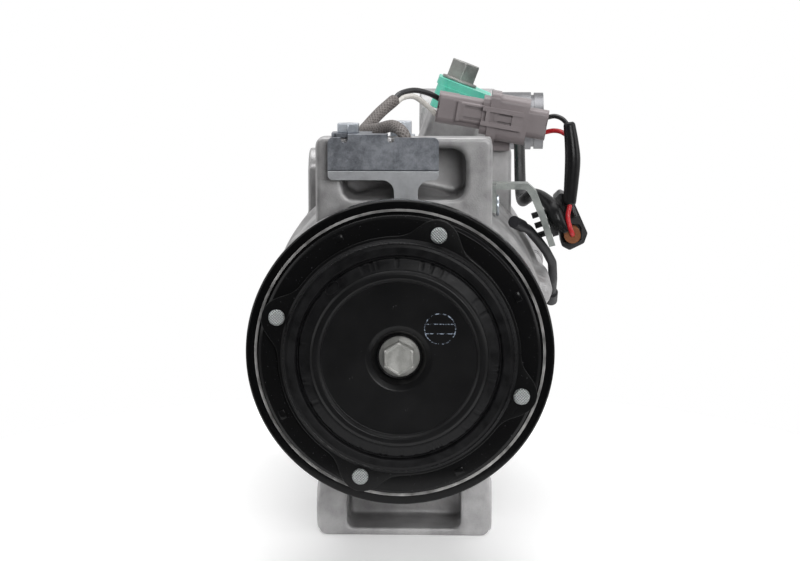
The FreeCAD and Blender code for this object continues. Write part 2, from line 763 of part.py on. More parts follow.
# ---- wire guard, clamp and top bolts ---------------------------------------------------
def wire_guard():
    """T-shaped sheet guard in front of the coil lead, folded back over the top block."""
    head = rounded_block(-27.9, 13.1, GUARD_Y, GUARD_Y + SHEET, 58.2, 73.9, 2.0)
    stem = block(-3.4, 5.4, GUARD_Y, GUARD_Y + SHEET, 47.5, 60)
    front = join([head, stem])

    def inner_corner(edge):
        middle = edge.CenterOfMass
        return abs(middle.z - 58.2) < 0.1 and edge.BoundBox.YLength > 1.7 and -4 < middle.x < 6

    front = round_edges(front, 4.5, inner_corner)
    notches = []
    for x in (-21.8, -4.6):
        notches.append(ycyl(1.3, 10, 30, x, 73.2))
        notches.append(block(x - 1.3, x + 1.3, 10, 30, 73.2, 76))
    front = front.cut(notches)
    fold = block(-20.5, -5.9, GUARD_Y, GUARD_Y + SHEET, 72, 75.0)
    top = block(-20.5, -5.9, GUARD_Y, 27.0, TOP_Z + 0.1, 75.0)
    tab = rounded_block(-27.0, -12.0, 26.0, 36.8, TOP_Z, 75.0, 2.0, "z")
    guard = join([front, fold, top, tab])
    return guard.cut(zcyl(SCREW_HOLE_R, 70, 80, *GUARD_BOLT))


def bracket_bolts():
    """Guard bolt, clamp bolt and the flat-headed side rivet of the harness bracket."""
    guard_bolt = upright_bolt(*GUARD_BOLT, 75.0, 8.0, 3.4, SCREW_R, 5.4)
    clamp_bolt = upright_bolt(*CLAMP_BOLT, TOP_Z - 0.4, 8.0, 5.2, SCREW_R, 3.4)
    rivet = join([ycyl(4.0, 0, 1.2), ycyl(SCREW_R, -9.0, 0.5)])
    rivet.rotate(ORIGIN, V(0, 0, 1), -90)
    rivet.translate(V(TOP_HALF_X + SHEET, BRACKET_RIVET_Y, BRACKET_RIVET_Z))
    return Part.makeCompound([guard_bolt, clamp_bolt, rivet])


def lead_clamp():
    """Sheet clip under the clamp bolt that holds the coil lead on the block."""
    low = TOP_Z - 2.0
    base = block(-6.0, 3.5, 41.0, 52.0, low, low + 1.6)
    return base.cut(zcyl(SCREW_HOLE_R, 60, 80, *CLAMP_BOLT))


# ---- leads -----------------------------------------------------------------------------
SLEEVE_ROUTE = [
    (1.0, 23.65, 57.0), (1.0, 23.65, 74.6), (-4.0, 33.0, 77.8), (-11.0, 42.0, 74.6), (-16.5, 50.5, 74.4),
    (-5.4, 66.0, 84.6),
]


def coil_lead_sleeve():
    return cord(SLEEVE_ROUTE, 2.3, 7.0)


def plug_frame(shape):
    """Move a shape drawn about its own centre onto the tilted plug axis."""
    copy = turned(shape, PLUG_TILT)
    copy.translate(V(PLUG_X, PLUG_Y, PLUG_Z))
    return copy


def coil_lead_wires():
    """Black wire and white wire from the woven sleeve to the plug."""
    black = cord([
        (-4.9, 66.9, 85.1), (-1.5, 72.0, 88.2), (5.0, 80.0, 87.6), (12.0, 87.6, 84.4),
    ], WIRE_R, 6.0)
    white = cord([
        (-3.7, 67.6, 84.0), (-0.5, 71.5, 86.2), (4.0, 77.5, 84.6), (10.0, 84.6, 78.6),
    ], WIRE_R, 6.0)
    return Part.makeCompound([black, white])


def connector_socket():
    """Left half of the plug pair, with two wire barrels and the latch tongue."""
    barrels = []
    for z in (-3.1, 3.1):
        barrels.append(xcyl(3.3, -21.9, -14.0, 0, z))
    body = rounded_block(-21.2, -4.0, -4.4, 4.4, -6.0, 6.0, 2.4, "x")
    tongue = rounded_block(-14.0, -4.0, -6.4, -3.0, -3.9, 3.9, 0.8, "x")
    heel = block(-14.0, -12.6, -7.0, -3.0, -3.9, 3.9)
    shape = join([body, tongue, heel] + barrels)
    slots = [block(-11.0, -3.0, -7.5, -5.6, z - 0.5, z + 0.5) for z in (-2.2, 2.2)]
    return plug_frame(shape.cut(slots)).cut(coil_lead_wires())


def connector_plug():
    """Right half of the plug pair, with the mouth flange, shroud and latch window."""
    mouth = rounded_block(-1.2, 2.6, -8.6, 8.6, -10.1, 10.1, 3.0, "x")
    shroud = rounded_block(2.5, 14.4, -7.8, 7.8, -9.1, 9.1, 3.0, "x")
    neck = rounded_block(-4.0, -1.2, -7.4, 7.4, -7.6, 7.6, 2.6, "x")
    tail = rounded_block(14.3, 21.8, -4.8, 4.8, -5.9, 5.9, 2.4, "x")
    barrels = [xcyl(3.1, 16.0, 22.4, 0, z) for z in (-3.0, 3.0)]
    rails = []
    for z in (-2.9, 2.9):
        rails.append(block(-4.0, 12.4, -9.8, -7.0, z - 0.9, z + 0.9))
    bridges = [block(-2.4, -1.0, -9.8, -7.0, -2.9, 2.9), block(8.0, 12.4, -9.4, -7.0, -2.9, 2.9)]
    bar = block(1.0, 8.5, -8.9, -7.0, -1.1, 1.1)
    plug = plug_frame(join([mouth, shroud, neck, tail, bar] + barrels + rails + bridges))
    pad_top = REAR_TOP_Z + 9.5
    foot = block(33.5, 40.5, PLUG_Y + 3, BLOCK_FRONT + 9, pad_top, pad_top + 7.5)
    return join([plug, foot]).cut(harness_wires())


def harness_wires():
    """Black wire and red wire from the plug through the sheath to the valve plug."""
    black = cord([
        (55.9, 86.0, 77.0), (60.5, 85.0, 77.3), (64.2, 82.4, 73.6), (65.4, 81.8, 62.0), (64.6, 81.6, 45.0),
        (66.6, 81.4, 38.2),
    ], THIN_WIRE_R, 4.0)
    red = cord([
        (55.0, 86.0, 71.3), (59.5, 84.6, 71.6), (63.9, 80.2, 69.0), (65.3, 79.3, 60.0), (64.6, 79.0, 45.0),
        (63.7, 77.8, 38.6), (65.4, 75.4, 33.0), (65.6, 79.6, 30.7),
    ], THIN_WIRE_R, 3.0)
    return Part.makeCompound([black, red])


def harness_sheath():
    """Shrink sheath around the two wires, widest in its middle."""
    body = bulged_tube([
        (64.0, 81.2, 74.2, 2.4), (64.9, 80.8, 67.5, 2.8), (65.4, 80.5, 60.5, 3.1), (65.0, 80.3, 52.0, 2.9),
        (64.4, 80.2, 44.0, 2.6),
    ])
    return body.cut(harness_wires())


def harness_boot():
    """Sleeve of the control valve lead, ending in a soft boot at the valve plug."""
    return bulged_tube([
        (47.0, 172.0, 68.0, 2.4), (46.2, 160.0, 64.0, 2.4), (46.0, 144.0, 54.5, 2.4),
        (46.0, 128.0, 45.0, 2.4), (46.4, 114.0, 41.0, 2.4), (47.6, 103.0, 42.6, 2.4),
        (50.2, 96.0, 45.2, 2.4), (53.8, 88.5, 44.8, 2.4), (57.8, 80.4, 41.4, 3.0),
        (59.5, 78.2, 37.4, 3.1), (61.9, 77.4, 34.2, 1.9), (62.9, 77.2, 32.8, 1.4),
    ]).cut(control_valve())


def harness_bracket():
    """Folded strip that carries the valve plug beside the body."""
    face = TOP_HALF_X
    foot = block(face, face + SHEET, 50.0, 66.0, BRACKET_LOW, BRACKET_HIGH)
    strip = plate([
        (face, BRACKET_HIGH), (face, 51.0), (46.3, 51.0), (48.0, 48.6), (51.9, 39.5), (55.6, 28.6),
        (58.0, 29.2), (54.3, 40.5), (50.4, 50.4), (47.0, BRACKET_HIGH),
    ], 58.0, 66.0)
    leg = plate([(51.9, 39.5), (55.6, 28.6), (58.0, 29.2), (54.3, 40.5)], 58.0, 97.0)
    holes = [xcyl(SCREW_HOLE_R, 30, 40, BRACKET_RIVET_Y, BRACKET_RIVET_Z)]
    for x, z in peg_places():
        holes.append(peg(x, z, 1.25))
    return join([foot, strip, leg]).cut(holes)


def peg_places():
    return [(51.3, 37.6), (52.6, 33.6), (54.0, 29.8)]


def peg(x, z, radius):
    """Clip peg square to the leg of the harness bracket."""
    return Part.makeCylinder(radius, 9.0, V(x, 89.0, z), V(0.946, 0, 0.324))


def valve_plug():
    """Black plug body with its clip plate and pegs."""
    outline = [
        (58.4, 44.6), (61.1, 47.2), (65.8, 44.6), (72.0, 30.8), (70.6, 26.8), (64.8, 23.9), (61.6, 25.6),
    ]
    body = plate(outline, 84.5, 100.0)
    body = round_edges(body, 1.4, lambda e: e.BoundBox.YLength > 15)
    clip = plate([(54.45, 40.4), (58.15, 29.25), (60.4, 30.0), (60.0, 38.5)], 84.5, 98.0)
    hollow = rounded_block(61.5, 69.5, 80, 87.5, 27.1, 34.5, 2.0)
    pegs = [peg(x - 1.6, z - 0.5, 1.2) for x, z in peg_places()]
    return join([body.cut(hollow), clip] + pegs)


def plug_seal():
    """Orange seal around the wires where they enter the valve plug."""
    return ycyl(3.3, 78.6, 87.5, 65.6, 30.7).cut(harness_wires())


def sensor_cable():
    """Cable of the speed sensor with a crimped metal ferrule at each end."""
    start = V(41.8, 60.0, 38.2)
    leaving = V(0.43, 0.85, -0.31).normalize()
    end = V(59.0, 112.0, 2.6)
    arriving = V(0, 0.8, -0.6)
    near = Part.makeCylinder(2.4, 8.0, start, leaving)
    far = Part.makeCylinder(2.6, 7.0, end, arriving)
    cable = cord([
        tuple(start + leaving * 8.0), tuple(start + leaving * 14.0), (52.0, 80.0, 28.4),
        (55.4, 86.5, 23.4), (58.3, 94.0, 17.6), tuple(end - arriving * 12.0), tuple(end),
    ], 1.85, 10.0)
    return Part.makeCompound([near, cable, far])


# ---- export ----------------------------------------------------------------------------
def nodes():
    made = {}
    for build in (
        pulley, pulley_bearing_outer_ring, pulley_bearing_inner_ring, pulley_bearing_balls,
        snap_rings, coil_housing, coil_winding, armature_disc, outer_plate,
        armature_rivets, damper_rubber, clutch_hub, hub_bolt, shaft, shaft_seal, shaft_bushes,
        thrust_rollers, lug_plate, destroke_spring, swash_sleeve, swash_plate, front_housing,
        body_gaskets, cylinder_block, valve_plate, reed_plates, rear_housing, through_bolts,
        control_valve, control_valve_rod, port_cap, port_cap_bolt, wire_guard, bracket_bolts,
        lead_clamp, coil_lead_sleeve, coil_lead_wires, connector_socket, connector_plug,
        harness_wires, harness_sheath, harness_boot, harness_bracket, valve_plug, plug_seal,
        sensor_cable,
    ):
        made[build.__name__] = build()
    for number, angle in enumerate(cylinder_angles(), start=1):
        made[f"piston_{number}"] = piston(angle)
        made[f"shoes_{number}"] = shoes(angle)
    return made


def main():
    os.makedirs("parts", exist_ok=True)
    for name, shape in nodes().items():
        shape.exportStep(f"parts/{name}.step")


main()
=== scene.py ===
import json
import math
import random

import bmesh
import bpy
from mathutils import Matrix, Vector


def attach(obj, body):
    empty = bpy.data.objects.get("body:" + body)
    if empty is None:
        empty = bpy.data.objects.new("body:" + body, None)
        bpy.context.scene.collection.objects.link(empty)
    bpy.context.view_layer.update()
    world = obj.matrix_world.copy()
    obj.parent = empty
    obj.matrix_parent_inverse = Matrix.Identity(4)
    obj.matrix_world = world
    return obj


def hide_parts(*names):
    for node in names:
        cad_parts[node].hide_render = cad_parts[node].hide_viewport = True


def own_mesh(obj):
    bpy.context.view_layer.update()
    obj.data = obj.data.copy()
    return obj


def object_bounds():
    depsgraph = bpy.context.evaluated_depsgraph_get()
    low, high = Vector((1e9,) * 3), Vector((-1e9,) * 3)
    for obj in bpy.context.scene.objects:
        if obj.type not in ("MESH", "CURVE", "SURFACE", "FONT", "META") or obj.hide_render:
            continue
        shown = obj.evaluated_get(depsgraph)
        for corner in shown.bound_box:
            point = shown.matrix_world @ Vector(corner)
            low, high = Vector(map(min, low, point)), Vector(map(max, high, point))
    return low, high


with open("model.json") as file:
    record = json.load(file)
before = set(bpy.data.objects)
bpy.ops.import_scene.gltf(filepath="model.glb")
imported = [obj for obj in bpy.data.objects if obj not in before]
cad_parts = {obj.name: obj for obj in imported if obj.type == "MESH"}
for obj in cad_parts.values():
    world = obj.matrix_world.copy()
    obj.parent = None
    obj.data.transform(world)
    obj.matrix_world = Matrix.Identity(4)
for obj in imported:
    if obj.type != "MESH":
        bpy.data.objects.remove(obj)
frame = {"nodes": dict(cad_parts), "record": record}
CAD_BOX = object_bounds()

NODES = frame["nodes"]
MM = 0.001
SCENE = bpy.context.scene

# ---- measures shared with the CAD model, in millimetres and degrees ---------------------
EARS = 4
RIVET_FIRST = 72.2
RIVET_CIRCLE = 45.3
PLATE_FRONT = -23.5
PLATE_BACK = -21.7
PLATE_RING_R = 43.0
FRICTION_FACE = -17.2
RIBS = 6
RIB_PITCH = 3.56
BELT_R = 52.0
BELT_HALF_WIDTH = 10.35
GROOVE_R = 49.2
SPRING_COILS = 5
SPRING_WIRE_R = 0.9
SPRING_START = 51.9


# ---- materials -------------------------------------------------------------------------
class Nodes:
    """A small helper that builds a node tree for one material."""

    def __init__(self, name):
        self.material = bpy.data.materials.new(name)
        self.material.use_nodes = True
        self.tree = self.material.node_tree
        self.shader = self.tree.nodes["Principled BSDF"]
        self.place = self.add("ShaderNodeTexCoord").outputs["Object"]

    def add(self, kind, **values):
        node = self.tree.nodes.new(kind)
        for key, value in values.items():
            setattr(node, key, value)
        return node

    def link(self, output, socket):
        self.tree.links.new(output, socket)

    def put(self, value, socket):
        if isinstance(value, bpy.types.NodeSocket):
            self.link(value, socket)
        else:
            socket.default_value = value

    def noise(self, scale, detail=3.0, rough=0.5):
        node = self.add("ShaderNodeTexNoise")
        node.inputs["Scale"].default_value = scale
        node.inputs["Detail"].default_value = detail
        node.inputs["Roughness"].default_value = rough
        self.link(self.place, node.inputs["Vector"])
        return node.outputs["Fac"]

    def math(self, operation, a, b=0.0):
        node = self.add("ShaderNodeMath", operation=operation)
        self.put(a, node.inputs[0])
        self.put(b, node.inputs[1])
        return node.outputs[0]

    def blend(self, a, share, b):
        """Share of a, and the rest of b."""
        return self.math("ADD", self.math("MULTIPLY", a, share), self.math("MULTIPLY", b, 1.0 - share))

    def away(self, value, centre):
        """Distance of a value from its centre."""
        return self.math("ABSOLUTE", self.math("SUBTRACT", value, centre))

    def length(self, a, b):
        return self.math("SQRT", self.math("ADD", self.math("POWER", a, 2.0), self.math("POWER", b, 2.0)))

    def span(self, value, low, high, to_low=0.0, to_high=1.0, smooth=False):
        node = self.add("ShaderNodeMapRange", interpolation_type="SMOOTHSTEP" if smooth else "LINEAR")
        self.link(value, node.inputs["Value"])
        for label, number in (("From Min", low), ("From Max", high), ("To Min", to_low), ("To Max", to_high)):
            node.inputs[label].default_value = number
        return node.outputs["Result"]

    def mix(self, factor, a, b):
        node = self.add("ShaderNodeMix", data_type="RGBA")
        self.put(factor, node.inputs[0])
        for value, index in ((a, 6), (b, 7)):
            if isinstance(value, tuple):
                value = (*value, 1.0)
            self.put(value, node.inputs[index])
        return node.outputs[2]

    def axes(self):
        node = self.add("ShaderNodeSeparateXYZ")
        self.link(self.place, node.inputs[0])
        return node.outputs[0], node.outputs[1], node.outputs[2]

    def bump(self, height, distance, strength=1.0, normal=None):
        node = self.add("ShaderNodeBump")
        node.inputs["Distance"].default_value = distance
        node.inputs["Strength"].default_value = strength
        self.link(height, node.inputs["Height"])
        if normal:
            self.link(normal, node.inputs["Normal"])
        return node.outputs["Normal"]

    def surface(self, base_color, roughness, normal):
        self.link(base_color, self.shader.inputs["Base Color"])
        self.link(roughness, self.shader.inputs["Roughness"])
        self.link(normal, self.shader.inputs["Normal"])

    def fixed(self, label, value):
        """A value that is the same all over the surface."""
        self.shader.inputs[label].default_value = value


def finish(name, low, high, rough, metallic=0.0, patch=70.0, grain=1200.0, depth=0.02, spread=0.08,
           specular=0.5):
    """Mottled colour, uneven gloss and a fine grain: the base of most finishes here."""
    m = Nodes(name)
    blotch = m.noise(patch, 4.0, 0.55)
    fine = m.noise(grain, 3.0, 0.6)
    tone = m.span(m.blend(blotch, 0.7, fine), 0.34, 0.66)
    gloss = m.span(blotch, 0.35, 0.65, rough - spread, rough + spread)
    m.surface(m.mix(tone, low, high), gloss, m.bump(fine, depth * MM))
    m.fixed("Metallic", metallic)
    m.fixed("Specular IOR Level", specular)
    return m


def cast_metal():
    """Shot-blasted die casting: fine pitted grain, cloudy tone and dark specks."""
    m = Nodes("cast")
    blotch = m.noise(38.0, 5.0, 0.6)
    cloud = m.noise(150.0, 3.0, 0.6)
    pits = m.noise(2600.0, 2.0, 0.6)
    tone = m.span(m.blend(blotch, 0.6, cloud), 0.36, 0.64)
    body = m.mix(tone, (0.29, 0.285, 0.288), (0.49, 0.485, 0.487))
    speck = m.span(pits, 0.60, 0.72)
    colour = m.mix(m.math("MULTIPLY", speck, 0.35), body, (0.16, 0.16, 0.17))
    gloss = m.span(cloud, 0.3, 0.7, 0.38, 0.56)
    m.surface(colour, gloss, m.bump(cloud, 0.25 * MM, 0.5, m.bump(pits, 0.055 * MM)))
    m.fixed("Metallic", 0.55)
    return m


def black_gloss(name, rough, ripple):
    """Glossy black paint with slight orange peel and a few dust specks."""
    m = Nodes(name)
    peel = m.noise(420.0, 2.0, 0.5)
    speck = m.span(m.noise(2100.0, 1.0, 0.4), 0.755, 0.80)
    gloss = m.span(m.noise(60.0), 0.3, 0.7, rough - 0.03, rough + 0.05)
    m.surface(m.mix(speck, (0.0052, 0.0052, 0.0055), (0.07, 0.07, 0.075)), gloss, m.bump(peel, ripple * MM))
    m.fixed("Specular IOR Level", 0.16)
    return m


def pulley_paint():
    """Black paint over turned steel, with a bright turned band inside the lip."""
    band_r, band_half, band_behind = 51.3 * MM, 0.45 * MM, -16.0 * MM
    rings_per_metre = 17000.0
    m = Nodes("pulley_paint")
    x, y, z = m.axes()
    radius = m.length(x, z)
    band = m.math("LESS_THAN", m.away(radius, band_r), band_half)
    face = m.math("MULTIPLY", band, m.math("LESS_THAN", y, band_behind))
    rings = m.math("SINE", m.math("MULTIPLY", radius, rings_per_metre))
    tone = m.span(m.noise(160.0), 0.35, 0.65, 0.3, 0.9)
    colour = m.mix(m.math("MULTIPLY", face, tone), (0.0036, 0.0036, 0.0039), (0.62, 0.61, 0.60))
    gloss = m.span(m.noise(700.0, 2.0), 0.3, 0.7, 0.13, 0.22)
    m.surface(colour, gloss, m.bump(m.math("MULTIPLY", rings, face), 0.018 * MM))
    m.fixed("Specular IOR Level", 0.16)
    return m


def hub_paint():
    """Satin black hub with a faint broken ink ring and two ruled lines, and no lettering."""
    mark_x, mark_z, mark_r, ring_half = 14.4 * MM, 10.6 * MM, 5.4 * MM, 0.17 * MM
    ruled_from_middle, ruled_half, front_face = 1.7 * MM, 0.15 * MM, -26.0 * MM
    m = Nodes("hub_paint")
    x, y, z = m.axes()
    across = m.math("SUBTRACT", x, mark_x)
    up = m.math("SUBTRACT", z, mark_z)
    reach = m.length(across, up)
    outline = m.math("LESS_THAN", m.away(reach, mark_r), ring_half)
    inside = m.math("LESS_THAN", reach, mark_r)
    ruled = m.math("LESS_THAN", m.away(m.math("ABSOLUTE", up), ruled_from_middle), ruled_half)
    ink = m.math("MAXIMUM", outline, m.math("MULTIPLY", inside, ruled))
    worn = m.span(m.noise(900.0, 3.0, 0.7), 0.47, 0.56)
    ink = m.math("MULTIPLY", m.math("MULTIPLY", ink, worn), m.math("LESS_THAN", y, front_face))
    dust = m.span(m.noise(1700.0, 1.0, 0.4), 0.75, 0.80, 0.0, 0.5)
    paint = m.mix(dust, (0.005, 0.005, 0.0055), (0.05, 0.05, 0.055))
    gloss = m.span(m.noise(90.0), 0.3, 0.7, 0.30, 0.40)
    m.surface(m.mix(ink, paint, (0.34, 0.40, 0.50)), gloss, m.bump(m.noise(900.0, 3.0, 0.6), 0.02 * MM))
    m.fixed("Specular IOR Level", 0.22)
    return m


def zinc_plate(name, low, high, rough, bend_groove_and_painted_light):
    """Bluish bright zinc with crystalline flakes; where it is bent, painted shade darkens a line along the
    bend, which also carries a bump groove, and painted light makes the strip below the bend lighter.
    """
    fold_z, line_core, line_edge = 61.7 * MM, 0.10 * MM, 0.34 * MM
    m = Nodes(name)
    cloud = m.noise(75.0, 5.0, 0.65)
    tone = m.blend(m.noise(640.0, 3.0, 0.7), 0.4, cloud)
    colour = m.mix(m.span(tone, 0.38, 0.62), low, high)
    height = m.noise(1500.0, 2.0, 0.6)
    if bend_groove_and_painted_light:
        z = m.axes()[2]
        line = m.span(m.away(z, fold_z), line_core, line_edge, 1.0, 0.0, True)
        painted_light_below_bend = m.math("LESS_THAN", z, fold_z)
        # painted light: the strip below the bend is coloured lighter for the light that falls on it
        colour = m.mix(m.math("MULTIPLY", painted_light_below_bend, 0.55), colour, (0.66, 0.67, 0.68))
        # painted shade: a dark line along the bend
        colour = m.mix(m.math("MULTIPLY", line, 0.65), colour, (0.07, 0.075, 0.09))
        height = m.math("SUBTRACT", height, m.math("MULTIPLY", line, 3.0))
    m.surface(colour, m.span(cloud, 0.3, 0.7, rough - 0.08, rough + 0.1), m.bump(height, 0.022 * MM))
    m.fixed("Metallic", 0.95)
    return m


def knurled_zinc():
    """Rivet heads peened with a fine cross pattern."""
    waves_per_metre = 6300.0
    m = Nodes("rivet_zinc")
    x, _, z = m.axes()
    grid = m.math("MULTIPLY", m.math("SINE", m.math("MULTIPLY", x, waves_per_metre)),
                  m.math("SINE", m.math("MULTIPLY", z, waves_per_metre)))
    colour = m.mix(m.span(grid, -0.7, 0.5), (0.035, 0.037, 0.037), (0.62, 0.65, 0.65))
    m.surface(colour, m.span(grid, -1.0, 1.0, 0.5, 0.3), m.bump(grid, 0.16 * MM))
    m.fixed("Metallic", 0.6)
    return m


def woven_sleeve():
    """Varnished glass braid: strands crossing round the coil lead."""
    strands, turn_per_mm = 9, 3.6
    m = Nodes("braid")
    split = m.add("ShaderNodeSeparateXYZ")
    m.link(m.add("ShaderNodeTexCoord").outputs["UV"], split.inputs[0])
    around = m.math("MULTIPLY", split.outputs[0], 2 * math.pi * strands)
    along = m.math("MULTIPLY", split.outputs[1], turn_per_mm)
    one = m.math("SINE", m.math("ADD", around, along))
    two = m.math("SINE", m.math("SUBTRACT", around, along))
    weave = m.math("MAXIMUM", one, two)
    tone = m.math("ADD", m.span(weave, -0.4, 1.0, 0.0, 0.6), m.span(m.noise(420.0), 0.3, 0.7, 0.0, 0.4))
    colour = m.mix(tone, (0.070, 0.060, 0.056), (0.190, 0.170, 0.160))
    m.surface(colour, m.span(weave, -1.0, 1.0, 0.62, 0.42), m.bump(weave, 0.12 * MM))
    return m


def translucent_teal():
    """Moulded cap plastic that lets a little light through."""
    m = finish("teal", (0.085, 0.50, 0.37), (0.13, 0.60, 0.46), 0.36, patch=120.0, grain=900.0, depth=0.02)
    m.fixed("Subsurface Weight", 0.35)
    m.fixed("Subsurface Radius", (0.002, 0.004, 0.003))
    return m


# darker tone, lighter tone, roughness, metallic, patch scale, grain scale, grain depth in
# millimetres, and where they differ from the usual, the spread of the gloss and the specular level
PLAIN_FINISHES = {
    "steel": ((0.42, 0.42, 0.43), (0.60, 0.60, 0.61), 0.26, 1.0, 90.0, 1500.0, 0.006),
    "dark_steel": ((0.20, 0.20, 0.195), (0.34, 0.335, 0.32), 0.42, 0.75, 130.0, 1600.0, 0.03),
    "rubber": ((0.003, 0.003, 0.0034), (0.007, 0.007, 0.0078), 0.42, 0.0, 220.0, 1500.0, 0.05, 0.08, 0.18),
    "copper": ((0.45, 0.17, 0.07), (0.62, 0.27, 0.12), 0.3, 1.0, 90.0, 2000.0, 0.02),
    "spring_steel": ((0.24, 0.24, 0.26), (0.40, 0.40, 0.42), 0.3, 1.0, 90.0, 1500.0, 0.01),
    "alu_machined": ((0.62, 0.62, 0.62), (0.76, 0.76, 0.76), 0.28, 1.0, 90.0, 1500.0, 0.008),
    "gasket": ((0.03, 0.03, 0.032), (0.07, 0.07, 0.072), 0.6, 0.2, 150.0, 1500.0, 0.02),
    "grey_plastic": ((0.205, 0.175, 0.180), (0.250, 0.218, 0.222), 0.40, 0.0, 60.0, 2200.0, 0.02, 0.05),
    "black_plastic": ((0.010, 0.010, 0.011), (0.026, 0.026, 0.028), 0.36, 0.0, 90.0, 1800.0, 0.03, 0.06),
    "sheath": ((0.006, 0.006, 0.0064), (0.012, 0.012, 0.0128), 0.28, 0.0, 110.0, 700.0, 0.03, 0.06, 0.22),
    "seal_orange": ((0.16, 0.045, 0.010), (0.26, 0.085, 0.018), 0.4, 0.0, 200.0, 1500.0, 0.03),
    "valve_case": ((0.13, 0.13, 0.14), (0.24, 0.24, 0.25), 0.36, 0.7, 90.0, 1500.0, 0.02),
    "bracket_grey": ((0.24, 0.26, 0.25), (0.40, 0.42, 0.40), 0.38, 0.6, 110.0, 1300.0, 0.03),
    "bush": ((0.45, 0.34, 0.16), (0.60, 0.46, 0.24), 0.3, 1.0, 90.0, 1500.0, 0.01),
    "cable": ((0.016, 0.016, 0.018), (0.034, 0.034, 0.037), 0.46, 0.0, 220.0, 1500.0, 0.05, 0.08, 0.18),
    "bolt_grey": ((0.36, 0.36, 0.34), (0.50, 0.50, 0.48), 0.36, 0.4, 260.0, 1800.0, 0.02),
}
BLACK_SKIN = ((0.010, 0.010, 0.011), (0.020, 0.020, 0.021))
WIRE_SKINS = {
    "wire_pair_top": BLACK_SKIN,
    "wire_pair_side": BLACK_SKIN,
    "black_wire": BLACK_SKIN,
    "white_wire": ((0.56, 0.54, 0.50), (0.70, 0.68, 0.64)),
    "red_wire": ((0.42, 0.010, 0.016), (0.56, 0.016, 0.022)),
}


def palette():
    """A finish for each material slot of the record, and one for each piece that has its own."""
    made = {
        "cast": cast_metal(),
        "zinc": zinc_plate("zinc", (0.40, 0.44, 0.49), (0.66, 0.69, 0.73), 0.34, False),
        # the guard's zinc has painted light below its bend and painted shade along it
        "guard_zinc": zinc_plate("guard_zinc", (0.125, 0.135, 0.155), (0.31, 0.325, 0.355), 0.38, True),
        "rivet_zinc": knurled_zinc(),
        "black_paint": black_gloss("black_paint", 0.16, 0.012),
        "plate_paint": black_gloss("plate_paint", 0.24, 0.02),
        "pulley_paint": pulley_paint(),
        "hub_paint": hub_paint(),
        "teal": translucent_teal(),
        "braid": woven_sleeve(),
    }
    for name, values in PLAIN_FINISHES.items():
        made[name] = finish(name, *values)
    for name, (low, high) in WIRE_SKINS.items():
        made[name] = finish(name, low, high, 0.34, patch=260.0, grain=900.0, depth=0.01)
    return made


FINISH = palette()


# ---- mesh helpers ----------------------------------------------------------------------
def mesh_from(work, name):
    """Close a bmesh into a new mesh."""
    mesh = bpy.data.meshes.new(name)
    work.to_mesh(mesh)
    work.free()
    return mesh


def smooth_by_angle(mesh, degrees):
    """Smooth shading, except across edges that turn by more than the angle."""
    limit = math.cos(math.radians(degrees))
    for face in mesh.polygons:
        face.use_smooth = True
    work = bmesh.new()
    work.from_mesh(mesh)
    for edge in work.edges:
        if len(edge.link_faces) == 2:
            a, b = (face.normal for face in edge.link_faces)
            edge.smooth = a.dot(b) > limit
    work.to_mesh(mesh)
    work.free()


def piece(name, mesh, body, slot, finish_name, stands_for, sharp):
    """A finished mesh that rides on a body and takes the place of CAD nodes.

    Without a finish of its own it takes its slot's; sharp is an angle in degrees, or 0 to leave the shading.
    """
    if sharp:
        smooth_by_angle(mesh, sharp)
    thing = bpy.data.objects.new(name, mesh)
    SCENE.collection.objects.link(thing)
    mesh.materials.append(FINISH[finish_name or slot].material)
    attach(thing, body)
    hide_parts(*stands_for)
    return thing


def filleted(corners, steps=5):
    """A closed outline of (radius, y, fillet) corners as plain (radius, y) points."""
    points = []
    count = len(corners)
    for i, (r, y, fillet) in enumerate(corners):
        here = Vector((r, y))
        if fillet <= 0:
            points.append(here)
            continue
        before = Vector(corners[i - 1][:2]) - here
        after = Vector(corners[(i + 1) % count][:2]) - here
        half = before.angle(after) / 2
        reach = min(fillet / math.tan(half), before.length * 0.48, after.length * 0.48)
        start = here + before.normalized() * reach
        end = here + after.normalized() * reach
        for k in range(steps + 1):
            t = k / steps
            points.append(start * (1 - t) ** 2 + here * 2 * t * (1 - t) + end * t ** 2)
    return [tuple(p) for p in points]


def lathe_mesh(name, outline, turns=256, shape=None, centre=(0.0, 0.0)):
    """Spin a closed outline about the Y axis; shape may move each point by its angle."""
    work = bmesh.new()
    rings = []
    for k in range(turns):
        angle = 2 * math.pi * k / turns
        ring = []
        for index, (r, y) in enumerate(outline):
            if shape:
                r, y = shape(index, r, y, angle)
            x, z = centre[0] + r * math.cos(angle), centre[1] + r * math.sin(angle)
            ring.append(work.verts.new((x * MM, y * MM, z * MM)))
        rings.append(ring)
    count = len(outline)
    for k in range(turns):
        near, far = rings[k], rings[(k + 1) % turns]
        for i in range(count):
            j = (i + 1) % count
            work.faces.new((near[i], near[j], far[j], far[i]))
    bmesh.ops.remove_doubles(work, verts=work.verts, dist=1e-8)
    bmesh.ops.recalc_face_normals(work, faces=work.faces)
    return mesh_from(work, name)


def join_meshes(name, meshes):
    """One mesh out of several, which are used up."""
    work = bmesh.new()
    for mesh in meshes:
        work.from_mesh(mesh)
    for mesh in meshes:
        bpy.data.meshes.remove(mesh)
    return mesh_from(work, name)


def polar(radius, degrees):
    """(x, z) of a point at this radius and angle about the shaft."""
    return radius * math.cos(math.radians(degrees)), radius * math.sin(math.radians(degrees))


def dome_mesh(name, centre, radius, back, front, crown):
    """A low rounded mark standing forward of a face."""
    outline = filleted([
        (0.0, back, 0), (radius, back, 0), (radius, front + crown, crown * 0.8), (0.0, front, 0),
    ], 6)
    return lathe_mesh(name, outline, 16, centre=centre)


